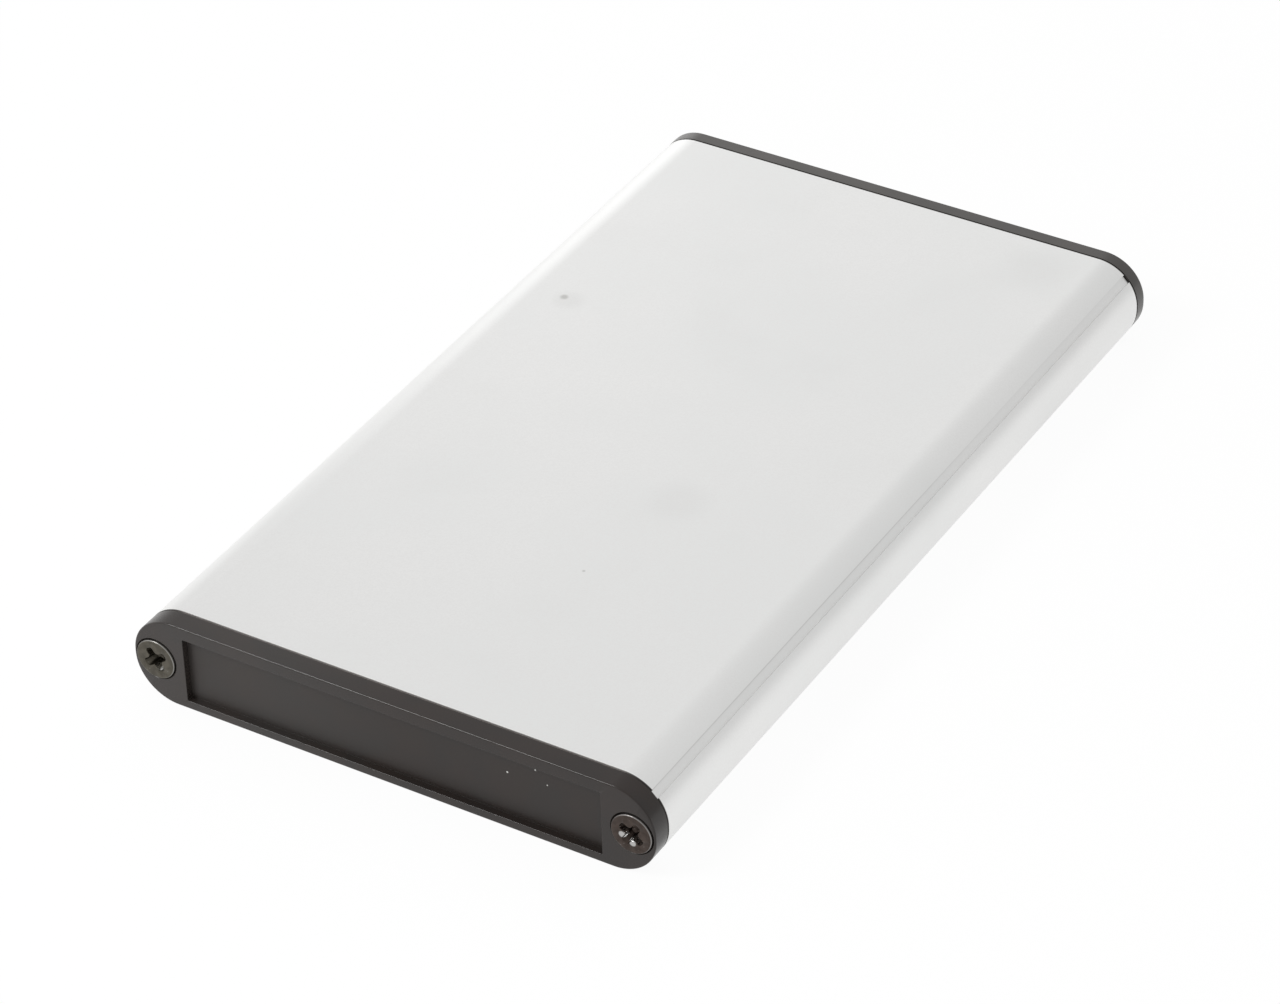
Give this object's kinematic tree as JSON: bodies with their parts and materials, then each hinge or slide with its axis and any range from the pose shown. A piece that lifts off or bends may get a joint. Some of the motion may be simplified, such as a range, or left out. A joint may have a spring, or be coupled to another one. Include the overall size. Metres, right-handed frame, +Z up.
{
  "type": "extruded aluminium enclosure",
  "caption": "Slim hollow aluminium extrusion with full-round sides, closed at its ends by black moulded caps held with countersunk cross-head screws.",
  "frame": {"origin": "under the middle of the enclosure, on the surface it rests on", "axes": "+X to the right of the recessed front cap, +Y along the extrusion to the plain rear cap, +Z up out of the top face"},
  "size_m": [0.075, 0.1306, 0.0125],
  "materials": {
    "aluminium": "fine satin, natural",
    "cap_plastic": "satin moulded black",
    "screw_steel": "black zinc, worn bare in the recess"
  },
  "bodies": {
    "root": {"body": "aluminium", "front_cap": "cap_plastic", "rear_cap": "cap_plastic", "front_left_screw": "screw_steel", "front_right_screw": "screw_steel", "rear_left_screw": "screw_steel", "rear_right_screw": "screw_steel"}
  },
  "joints": []
}
